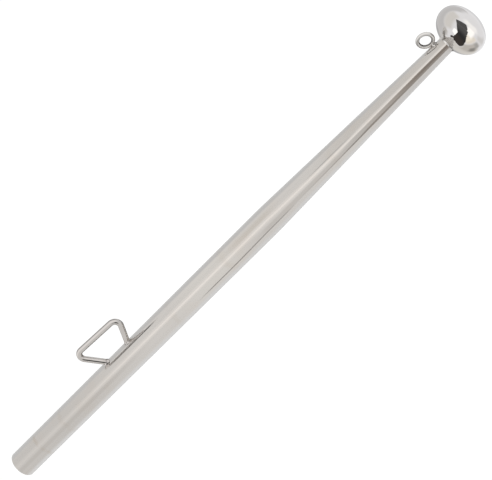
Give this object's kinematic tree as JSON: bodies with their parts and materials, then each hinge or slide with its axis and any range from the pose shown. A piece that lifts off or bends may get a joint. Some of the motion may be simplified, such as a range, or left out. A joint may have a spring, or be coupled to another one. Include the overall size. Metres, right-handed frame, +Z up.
{
  "type": "boat flagstaff",
  "caption": "Polished steel flagstaff: a round tube that tapers to a flattened ball, with a halyard eye near the top and a wire loop low on one side.",
  "frame": {"origin": "centre of the tube's flat foot", "axes": "+Z up the pole's axis, towards the ball; the eye and the loop stand on the -X side, with the loop in the XZ plane"},
  "size_m": [0.0614, 0.043, 0.5451],
  "materials": {
    "polished_tube": "mirror polished, with faint marks along the tube",
    "polished_ball": "mirror polished",
    "polished_wire": "polished",
    "weld_bead": "polished weld, a little uneven"
  },
  "bodies": {
    "root": {"shaft": "polished_tube", "finial": "polished_ball", "finial_weld": "weld_bead", "halyard_eye": "polished_wire", "eye_weld": "weld_bead", "lower_loop": "polished_wire", "loop_weld_lower": "weld_bead", "loop_weld_upper": "weld_bead"}
  },
  "joints": []
}
